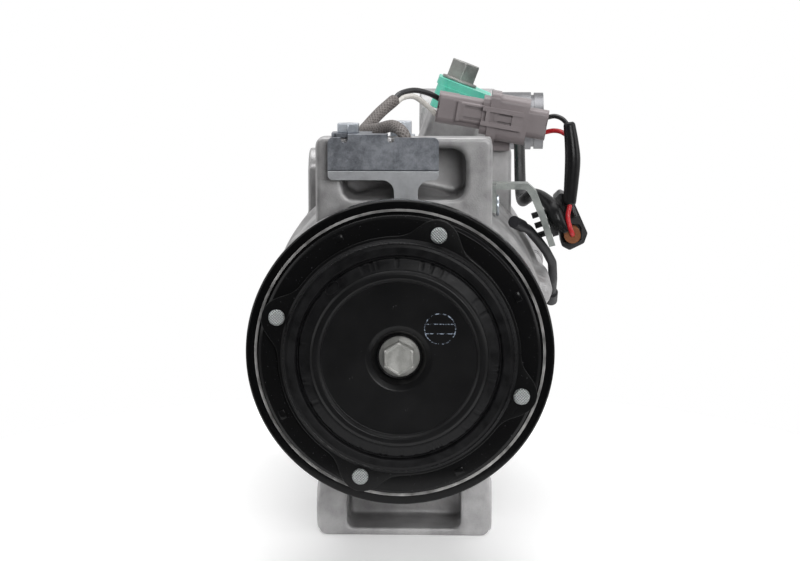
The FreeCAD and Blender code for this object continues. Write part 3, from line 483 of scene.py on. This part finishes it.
# ---- clutch and pulley -----------------------------------------------------------------
def build_pulley():
    """Six-rib rim with its front lip, friction face and bearing seat, as (radius, y, fillet) corners."""
    corners = [
        (26.0, FRICTION_FACE, 0.3), (51.0, FRICTION_FACE, 0.1), (51.55, -17.5, 0.12), (54.3, -17.45, 0.25),
        (54.9, -16.9, 0.3), (54.95, -12.2, 0.4), (BELT_R, -11.2, 0.4), (BELT_R, -BELT_HALF_WIDTH, 0.3),
    ]
    for i in range(RIBS):
        middle = (i - (RIBS - 1) / 2) * RIB_PITCH
        corners += [(GROOVE_R, middle - 0.4, 0.3), (GROOVE_R, middle + 0.4, 0.3)]
        if i < RIBS - 1:
            corners += [(BELT_R, middle + 1.45, 0.22), (BELT_R, middle + 2.11, 0.22)]
    corners += [
        (BELT_R, BELT_HALF_WIDTH, 0.3), (BELT_R, 14.5, 0.6), (47.5, 14.5, 0.5), (47.5, -12.0, 0.5),
        (32.0, -12.0, 0.5), (32.0, 12.0, 0.5), (27.5, 12.0, 0.4), (27.5, -9.5, 0), (26.0, -9.5, 0.2),
    ]
    mesh = lathe_mesh("pulley_rim", filleted(corners, 3), 320)
    piece("pulley_rim", mesh, "pulley", "black_paint", "pulley_paint", ["pulley"], 50.0)


def build_armature():
    """Flat ring with a chamfered rim, and a stop pad in each gap between the ears."""
    first_pad = 27.2
    corners = [
        (33.0, PLATE_BACK, 0.2), (48.9, PLATE_BACK, 0.3), (49.9, -21.0, 0.3), (50.0, -17.7, 0.2),
        (33.0, -17.7, 0.2),
    ]
    meshes = [lathe_mesh("armature_face", filleted(corners, 4), 320)]
    for i in range(EARS):
        meshes.append(stop_pad(first_pad + 90 * i))
    piece("armature_face", join_meshes("armature_face", meshes), "armature", "black_paint", None,
          ["armature_disc"], 50.0)


def stop_pad(angle):
    """A small flat pad left proud on the armature face between two ears."""
    wide, thick, tall = 2.4, 0.5, 3.4
    work = bmesh.new()
    bmesh.ops.create_cube(work, size=1.0)
    for vert in work.verts:
        vert.co = Vector((vert.co.x * wide, vert.co.y * thick, vert.co.z * tall)) * MM
    bmesh.ops.bevel(work, geom=work.edges[:], offset=0.2 * MM, segments=2, profile=0.5, affect="EDGES")
    x, z = polar(46.6, angle)
    place = Matrix.Translation(Vector((x, PLATE_BACK - 0.1, z)) * MM)
    place = place @ Matrix.Rotation(-math.radians(angle), 4, "Y")
    bmesh.ops.transform(work, matrix=place, verts=work.verts)
    return mesh_from(work, "stop_pad")


def plate_edge(angle):
    """Outer radius of the outer plate at an angle: a ring blended into four ears."""
    ring_r, ear_r, tip_r, blend_width = 42.9, 7.7, 51.2, 7.0
    ears = [Vector(polar(PLATE_RING_R, RIVET_FIRST + 90 * i)) for i in range(EARS)]

    def outside(radius):
        point = Vector((radius * math.cos(angle), radius * math.sin(angle)))
        ring = radius - ring_r
        best = ring
        for middle in ears:
            ear = (point - middle).length - ear_r
            blend = max(blend_width - abs(ring - ear), 0.0) / blend_width
            best = min(best, min(ring, ear) - blend * blend * blend_width / 4)
        return best > 0

    low, high = 42.0, 53.0
    for _ in range(24):
        middle = (low + high) / 2
        if outside(middle):
            high = middle
        else:
            low = middle
    return min(low, tip_r)


def build_spring_plate():
    """Outer plate of the clutch: one lathed section whose outer edge follows the ears."""
    turns = 720
    fixed_r = 42.0
    edge = [plate_edge(2 * math.pi * k / turns) for k in range(turns)]
    corners = filleted([
        (35.0, PLATE_BACK, 0), (35.0, PLATE_FRONT, 0), (fixed_r, PLATE_FRONT, 0),
        (PLATE_RING_R, PLATE_FRONT, 0.35), (PLATE_RING_R, PLATE_BACK - 0.05, 0.2),
        (fixed_r, PLATE_BACK - 0.05, 0),
    ], 4)

    def shape(_index, r, y, angle):
        if r > fixed_r:
            r += edge[int(round(angle / (2 * math.pi) * turns)) % turns] - PLATE_RING_R
        return r, y

    mesh = lathe_mesh("spring_plate", corners, turns, shape)
    piece("spring_plate", mesh, "armature", "black_paint", "plate_paint", ["outer_plate"], 40.0)


def build_rivets():
    """Four rivets with domed heads standing on the outer plate."""
    meshes = []
    for i in range(EARS):
        centre = polar(RIVET_CIRCLE, RIVET_FIRST + 90 * i)
        outline = filleted([
            (0.0, -18.2, 0), (2.0, -18.2, 0), (2.0, PLATE_FRONT, 0), (2.9, PLATE_FRONT, 0.1),
            (2.9, -24.0, 0.5), (2.2, -24.5, 0.4), (0.0, -24.4, 0),
        ], 5)
        meshes.append(lathe_mesh("rivet", outline, 64, centre=centre))
    piece("rivet_heads", join_meshes("rivet_heads", meshes), "armature", "zinc", "rivet_zinc",
          ["armature_rivets"], 50.0)


def ragged(seed, count, strength):
    """A row of uneven values up to strength either way, the same on each run."""
    dice = random.Random(seed)
    row = [dice.uniform(-1.0, 1.0) * dice.choice((0.3, 0.7, 1.0)) for _ in range(count)]
    return [value * strength for value in row]


def build_rubber():
    """Bonded ring: sloped face, toothed groove, outer fillet and its ragged flash line."""
    turns = 720
    tooth_steps = 6
    outer_shift = 31
    flash = ragged(3, turns, 0.16)
    lift = ragged(5, turns // 2, 0.14)
    teeth = ragged(8, turns // tooth_steps, 1.0)
    corners = [
        (31.45, -21.8, 0), (31.3, -27.25, 0.1), (32.0, -27.15, 0.5), (35.0, -26.0, 0.3), (35.35, -25.6, 0.15),
        (35.6, -24.7, 0.15), (36.0, -24.7, 0.15), (36.3, -25.5, 0.15), (36.8, -25.95, 0.4),
        (39.3, -26.15, 0.6), (40.2, -25.8, 0.2), (40.7, -26.0, 0.12), (41.0, -25.4, 0.1), (41.1, -24.0, 0.5),
        (42.0, -23.45, 0.2), (42.0, -23.3, 0), (35.2, -23.3, 0), (35.0, -21.8, 0),
    ]

    def shape(_index, r, y, angle):
        k = int(round(angle / (2 * math.pi) * turns)) % turns
        on_flash = 40.4 < r < 41.05 and y < -25.2
        groove_inner = 34.9 < r < 35.5 and y < -24.9
        groove_outer = 35.95 < r < 36.6 and y < -24.9
        if on_flash:
            r += flash[k]
            y += lift[k // 2]
        if groove_inner:
            tooth = teeth[(k // tooth_steps) % len(teeth)]
            if tooth > 0.1 and k % tooth_steps in (1, 2, 3, 4):
                r -= 0.42 * tooth
                y += 0.25 * tooth
        if groove_outer:
            tooth = teeth[(k // tooth_steps + outer_shift) % len(teeth)]
            if tooth > 0.35 and k % tooth_steps in (1, 2, 3):
                r += 0.28 * tooth
        return r, y

    ring = lathe_mesh("damper_ring", filleted(corners, 3), turns, shape)
    mesh = join_meshes("damper_ring", [ring, gate_mark()])
    piece("damper_ring", mesh, "rotor", "rubber", None, ["damper_rubber"], 60.0)


def gate_mark():
    """The thin raised oval that the moulding gate leaves on the sloped face."""
    around, across = 48, 8
    oval_r, bead_wide, bead_high, flattened = 2.9, 0.13, 0.16, 0.62
    angle, slope = 133, -24
    work = bmesh.new()
    rows = []
    for i in range(around):
        a = 2 * math.pi * i / around
        row = []
        for j in range(across):
            b = 2 * math.pi * j / across
            r = oval_r + bead_wide * math.cos(b)
            x, z = r * math.cos(a), r * math.sin(a) * flattened
            row.append(work.verts.new((x, bead_high * math.sin(b), z)))
        rows.append(row)
    for i in range(around):
        near, far = rows[i], rows[(i + 1) % around]
        for j in range(across):
            k = (j + 1) % across
            work.faces.new((near[j], far[j], far[k], near[k]))
    bmesh.ops.recalc_face_normals(work, faces=work.faces)
    x, z = polar(34.1, angle)
    tilt = Matrix.Rotation(math.radians(slope), 4, "X")
    turn = Matrix.Rotation(-math.radians(angle - 90), 4, "Y")
    place = Matrix.Translation(Vector((x, -26.75, z))) @ turn @ tilt
    bmesh.ops.transform(work, matrix=Matrix.Scale(MM, 4) @ place, verts=work.verts)
    return mesh_from(work, "gate_mark")


def build_hub():
    """Pressed cup on its splined sleeve, with three pairs of peen marks."""
    corners = [
        (6.1, -22.0, 0.2), (8.0, -22.0, 0.9), (9.6, -25.4, 1.2), (11.6, -26.5, 1.6), (27.3, -26.5, 0.35),
        (27.7, -27.2, 0.35), (28.6, -28.0, 0.7), (30.3, -28.0, 0.9), (31.35, -27.2, 0.5), (31.4, -26.6, 0.2),
        (31.4, -21.8, 0.2), (29.0, -21.8, 0.2), (29.0, -23.6, 0.4), (11.0, -23.6, 0.4), (11.0, -8.0, 0.2),
        (6.1, -8.0, 0.2),
    ]
    meshes = [lathe_mesh("hub_cup", filleted(corners, 5), 320)]
    for angle in (95, 203, 278):
        x, z = polar(18.5, angle)
        for side in (-0.45, 0.45):
            meshes.append(dome_mesh("peen", (x + side, z + side * 0.5), 0.42, -26.4, -26.62, 0.12))
    mesh = join_meshes("hub_cup", meshes)
    piece("hub_cup", mesh, "rotor", "black_paint", "hub_paint", ["clutch_hub"], 50.0)


def build_hub_bolt():
    """Flanged hexagon bolt with a shallow hexagon recess in its head."""
    half = 10.2 / 2
    rim_r, washer_r = 5.4, 5.75
    corners = filleted([
        (0.0, -27.55, 0), (4.15, -27.6, 0.1), (4.3, -28.0, 0.08), (5.3, -28.0, 0.15), (5.75, -27.6, 0.1),
        (5.7, -23.7, 0.5), (6.2, -23.4, 0.3), (7.2, -22.7, 0.35), (7.3, -22.0, 0.15), (0.0, -22.0, 0),
    ], 4)

    def shape(_index, r, y, angle):
        if y < -23.2 and 3.8 < r < 6.3:
            face = math.cos(((angle + math.pi / 6) % (math.pi / 3)) - math.pi / 6)
            flat = half / face
            if r > rim_r:
                r = flat + max(r - washer_r, 0.0)
            elif r > 4.7:
                r = min(r, flat - 0.2)
            else:
                r = r / face
        return r, y

    meshes = [lathe_mesh("hub_bolt_head", corners, 192, shape)]
    shank = filleted([(0.0, -22.1, 0), (3.0, -22.1, 0), (3.0, -7.0, 0.3), (0.0, -7.0, 0)], 3)
    meshes.append(lathe_mesh("hub_bolt_shank", shank, 48))
    mesh = join_meshes("hub_bolt_head", meshes)
    piece("hub_bolt_head", mesh, "rotor", "zinc", "bolt_grey", ["hub_bolt"], 26.0)


# ---- leads -----------------------------------------------------------------------------
def smooth_route(stations, per_span):
    """Points of a smooth curve through (x, y, z, radius) stations."""
    rows = [Vector(station) for station in stations]
    rows = [rows[0] * 2 - rows[1]] + rows + [rows[-1] * 2 - rows[-2]]
    points = []
    for a, b, c, d in zip(rows, rows[1:], rows[2:], rows[3:]):
        for k in range(per_span):
            t = k / per_span
            points.append(0.5 * (b * 2 + (c - a) * t + (a * 2 - b * 5 + c * 4 - d) * t ** 2
                                 + (b * 3 - a - c * 3 + d) * t ** 3))
    points.append(rows[-2])
    return points


def tube_mesh(name, stations, around, per_span=10):
    """A round tube through its stations, with rounded ends and a UV map: u around, v along in mm."""
    points = smooth_route(stations, per_span)
    centres = [p.xyz for p in points]
    radii = [p.w for p in points]
    first = (centres[1] - centres[0]).normalized()
    last = (centres[-1] - centres[-2]).normalized()
    for share in (0.35, 0.7):  # two narrowing rings round off each end
        centres.insert(0, centres[0] - first * radii[0] * 0.3)
        radii.insert(0, radii[0] * math.sqrt(1 - share ** 2))
        centres.append(centres[-1] + last * radii[-1] * 0.3)
        radii.append(radii[-1] * math.sqrt(1 - share ** 2))
    work = bmesh.new()
    layer = work.loops.layers.uv.new("UVMap")
    side = first.orthogonal().normalized()
    rows = []
    lengths = [0.0]
    for i, centre in enumerate(centres):
        ahead = (centres[min(i + 1, len(centres) - 1)] - centres[max(i - 1, 0)]).normalized()
        side = (side - ahead * side.dot(ahead)).normalized()
        other = ahead.cross(side)
        if i:
            lengths.append(lengths[-1] + (centre - centres[i - 1]).length)
        row = []
        for k in range(around):
            angle = 2 * math.pi * k / around
            offset = side * math.cos(angle) + other * math.sin(angle)
            row.append(work.verts.new((centre + offset * radii[i]) * MM))
        rows.append(row)
    for i in range(len(rows) - 1):
        for k in range(around):
            j = (k + 1) % around
            face = work.faces.new((rows[i][k], rows[i][j], rows[i + 1][j], rows[i + 1][k]))
            marks = ((k, i), (k + 1, i), (k + 1, i + 1), (k, i + 1))
            for loop, (u, v) in zip(face.loops, marks):
                loop[layer].uv = (u / around, lengths[v])
    work.faces.new(rows[0])
    work.faces.new(rows[-1])
    bmesh.ops.recalc_face_normals(work, faces=work.faces)
    return mesh_from(work, name)


def lead(name, stations, around, slot, node, per_span=10):
    mesh = tube_mesh(name, stations, around, per_span)
    piece(name, mesh, "body", slot, None, [node], 60.0)


def build_leads():
    """Sleeves, boots and wires through listed (x, y, z, radius) stations."""
    lead("lead_sleeve", [
        (1.0, 23.6, 57.0, 2.2), (1.0, 23.6, 66.0, 2.2), (0.4, 25.2, 74.0, 2.25), (-4.0, 33.0, 77.2, 2.3),
        (-10.0, 41.0, 75.6, 2.3), (-15.4, 48.6, 74.6, 2.3), (-14.6, 53.2, 76.0, 2.3),
        (-10.0, 60.0, 80.8, 2.3), (-5.2, 66.2, 84.8, 2.35),
    ], 28, "braid", "coil_lead_sleeve")
    dark = [
        (-5.2, 66.2, 85.0, 1.05), (-2.6, 70.2, 87.4, 1.1), (2.5, 76.6, 88.3, 1.1), (8.0, 82.6, 86.8, 1.1),
        (12.6, 87.6, 84.2, 1.1),
    ]
    pale = [
        (-4.2, 67.0, 84.0, 1.05), (-1.6, 70.4, 85.8, 1.1), (2.4, 75.4, 85.9, 1.1), (6.6, 80.4, 82.8, 1.1),
        (11.0, 85.4, 78.4, 1.1),
    ]
    two_wires("coil_leads", dark, pale, "wire_pair_top", "white_wire", "coil_lead_wires")
    dark = [
        (55.0, 86.2, 77.0, 0.95), (58.6, 85.6, 77.6, 0.95), (62.0, 83.8, 76.0, 0.95),
        (64.4, 82.2, 71.6, 0.95), (65.4, 81.8, 62.0, 0.95), (64.8, 81.6, 52.0, 0.95),
        (64.8, 81.6, 44.0, 0.95), (66.6, 81.4, 38.2, 0.95),
    ]
    red = [
        (54.4, 86.0, 71.2, 0.95), (58.2, 85.0, 71.9, 0.95), (61.6, 82.6, 71.2, 0.95),
        (64.0, 80.2, 68.4, 0.95), (65.2, 79.4, 60.0, 0.95), (64.8, 79.0, 50.0, 0.95),
        (64.4, 78.8, 43.0, 0.95), (63.6, 77.6, 38.2, 0.95), (64.4, 76.6, 34.2, 0.95),
        (65.4, 77.4, 31.6, 0.95), (65.6, 79.6, 30.7, 0.9),
    ]
    two_wires("plug_leads", dark, red, "wire_pair_side", "red_wire", "harness_wires")
    lead("lead_sheath", [
        (64.0, 81.2, 74.2, 2.4), (64.9, 80.8, 67.5, 2.8), (65.4, 80.5, 60.5, 3.1), (65.0, 80.3, 52.0, 2.9),
        (64.4, 80.2, 44.0, 2.6),
    ], 32, "sheath", "harness_sheath", 16)
    lead("lead_boot", [
        (47.0, 172.0, 68.0, 2.4), (46.2, 160.0, 64.0, 2.4), (46.0, 144.0, 54.5, 2.4),
        (46.0, 128.0, 45.0, 2.4), (46.4, 114.0, 41.0, 2.4), (47.6, 103.0, 42.6, 2.4),
        (50.2, 96.0, 45.2, 2.4), (53.8, 88.5, 44.8, 2.5),
        (57.8, 80.4, 41.4, 3.0), (59.5, 78.2, 37.4, 3.1), (61.9, 77.4, 34.2, 1.9), (62.9, 77.2, 32.8, 1.4),
    ], 28, "sheath", "harness_boot")


def build_spring():
    """Coil spring between lug plate and sleeve; it rides on the sleeve as one fixed shape.

    It ends short of the sleeve, where the hub of the tilted swash plate passes.
    """
    coil_r, end, steps_per_coil = 10.4, 74.6, 12
    steps = SPRING_COILS * steps_per_coil
    stations = []
    for i in range(steps + 1):
        x, z = polar(coil_r, 360.0 * SPRING_COILS * i / steps)
        stations.append((x, SPRING_START + (end - SPRING_START) * i / steps, z, SPRING_WIRE_R))
    mesh = tube_mesh("return_spring", stations, 12, 3)
    spring = piece("return_spring", mesh, "sleeve", "spring_steel", None, ["destroke_spring"], 60.0)
    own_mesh(spring)


def two_wires(name, dark, light, slot, light_finish, node):
    """Two insulated wires as one piece with a colour each."""
    meshes = [tube_mesh("dark", dark, 16), tube_mesh("light", light, 16)]
    dark_faces = len(meshes[0].polygons)
    thing = piece(name, join_meshes(name, meshes), "body", slot, "black_wire", [node], 60.0)
    thing.data.materials.append(FINISH[light_finish].material)
    for face in thing.data.polygons[dark_faces:]:
        face.material_index = 1


# ---- castings --------------------------------------------------------------------------
def build_casting(node):
    """Die-cast version of a CAD body: every edge and inside corner gets a cast radius."""
    voxel, passes, kept_share = 0.85, 5, 0.4
    mesh = NODES[node].data.copy()
    mesh.materials.clear()
    thing = piece(node + "_casting", mesh, "body", "cast", None, [node], 0)
    remesh = thing.modifiers.new("skin", "REMESH")
    remesh.mode = "VOXEL"
    remesh.voxel_size = voxel * MM
    remesh.use_smooth_shade = True
    ease = thing.modifiers.new("radii", "SMOOTH")
    ease.factor = 0.5
    ease.iterations = passes
    thin = thing.modifiers.new("thin", "DECIMATE")
    thin.ratio = kept_share


# ---- CAD nodes that stay ---------------------------------------------------------------
def dress(node, width, segments=2):
    """Give a CAD node a small edge radius."""
    thing = NODES[node]
    weld = thing.modifiers.new("weld", "WELD")
    weld.merge_threshold = 1e-6
    flat = thing.modifiers.new("flat", "DECIMATE")
    flat.decimate_type = "DISSOLVE"
    flat.angle_limit = math.radians(0.6)
    bevel = thing.modifiers.new("edge", "BEVEL")
    bevel.width = width * MM
    bevel.segments = segments
    bevel.limit_method = "ANGLE"
    bevel.angle_limit = math.radians(35)
    shade = thing.modifiers.new("shade", "WEIGHTED_NORMAL")
    shade.keep_sharp = False


def paint(node, finish_name):
    materials = NODES[node].data.materials
    materials.clear()
    materials.append(FINISH[finish_name].material)


def paint_all():
    """Every CAD node takes the finish of its record slot, and the guard its own."""
    for part in frame["record"]["subparts"]:
        paint(part["node"], part["material_slot"])
    paint("wire_guard", "guard_zinc")


# ---- studio ----------------------------------------------------------------------------
def build_world():
    """White behind the object, and for light and reflections a sky that is dark on the photo's side."""
    world = bpy.data.worlds.new("studio")
    SCENE.world = world
    world.use_nodes = True
    tree = world.node_tree
    tree.nodes.clear()
    out = tree.nodes.new("ShaderNodeOutputWorld")
    seen = tree.nodes.new("ShaderNodeBackground")
    seen.inputs[0].default_value = (1.0, 1.0, 1.0, 1.0)
    seen.inputs[1].default_value = 1.0
    around = tree.nodes.new("ShaderNodeBackground")
    around.inputs[1].default_value = 0.9
    place = tree.nodes.new("ShaderNodeTexCoord")
    split = tree.nodes.new("ShaderNodeSeparateXYZ")
    fade = tree.nodes.new("ShaderNodeMapRange")
    fade.interpolation_type = "SMOOTHSTEP"
    for label, number in (("From Min", -0.80), ("From Max", 0.30), ("To Min", 0.05), ("To Max", 0.80)):
        fade.inputs[label].default_value = number
    mix = tree.nodes.new("ShaderNodeMixShader")
    ray = tree.nodes.new("ShaderNodeLightPath")
    tree.links.new(place.outputs["Generated"], split.inputs[0])
    tree.links.new(split.outputs["Y"], fade.inputs["Value"])
    tree.links.new(fade.outputs["Result"], around.inputs[0])
    tree.links.new(ray.outputs["Is Camera Ray"], mix.inputs[0])
    tree.links.new(around.outputs[0], mix.inputs[1])
    tree.links.new(seen.outputs[0], mix.inputs[2])
    tree.links.new(mix.outputs[0], out.inputs[0])


def area_light(name, place, target, size, power):
    """A soft rectangular light, in metres and watts, aimed at a target."""
    light = bpy.data.lights.new(name, "AREA")
    light.shape = "RECTANGLE"
    light.size, light.size_y = size
    light.energy = power
    thing = bpy.data.objects.new(name, light)
    thing.location = place
    thing.rotation_euler = (Vector(target) - Vector(place)).to_track_quat("-Z", "Y").to_euler()
    SCENE.collection.objects.link(thing)


def build_floor():
    """A pale round floor under the feet, just bright enough to meet the white background."""
    work = bmesh.new()
    bmesh.ops.create_circle(work, cap_ends=True, segments=96, radius=0.22)
    mesh = mesh_from(work, "floor")
    floor = bpy.data.objects.new("floor", mesh)
    floor.location = (0, 0.08, CAD_BOX[0][2])
    SCENE.collection.objects.link(floor)
    m = finish("floor_paper", (0.86, 0.86, 0.86), (0.90, 0.90, 0.90), 0.8, patch=3.0, grain=40.0, depth=0.0)
    m.fixed("Emission Color", (1.0, 1.0, 1.0, 1.0))
    m.fixed("Emission Strength", 0.22)
    mesh.materials.append(m.material)


def build_stage():
    build_floor()
    area_light("top_soft", (0.0, 0.10, 1.25), (0, 0.05, 0), (1.3, 1.0), 14.0)
    area_light("left_soft", (-1.15, -0.20, 0.45), (0, 0.03, 0), (0.6, 1.0), 2.6)
    area_light("right_soft", (1.15, -0.15, 0.45), (0, 0.03, 0), (0.6, 1.0), 4.0)
    area_light("front_soft", (0.40, -1.20, 0.42), (0, 0.03, 0), (0.6, 0.5), 8.5)
    build_world()
    SCENE.view_settings.view_transform = "Standard"


def build_camera():
    """A long lens in front of the pulley, a little above it and to the right."""
    data = bpy.data.cameras.new("photo_view")
    data.lens = 90.74
    data.sensor_width = 36.0
    data.clip_start = 0.01
    camera = bpy.data.objects.new("photo_view", data)
    camera.location = (0.0239, -0.7209, 0.1304)
    camera.rotation_euler = (math.radians(90 - 8.41), 0.0, math.radians(1.94))
    SCENE.collection.objects.link(camera)
    bpy.context.scene.camera = camera


def build_object():
    paint_all()
    build_pulley()
    build_armature()
    build_spring_plate()
    build_rivets()
    build_rubber()
    build_hub()
    build_hub_bolt()
    build_leads()
    build_spring()
    for node in ("front_housing", "cylinder_block", "rear_housing"):
        build_casting(node)
    dress("wire_guard", 0.45, 3)
    for node, width in (
        ("connector_socket", 0.3), ("connector_plug", 0.35), ("valve_plug", 0.35), ("harness_bracket", 0.5),
        ("port_cap", 0.6), ("port_cap_bolt", 0.5), ("bracket_bolts", 0.3), ("lead_clamp", 0.3),
        ("through_bolts", 0.4), ("control_valve", 0.5),
    ):
        dress(node, width)


build_camera()
build_stage()
build_object()
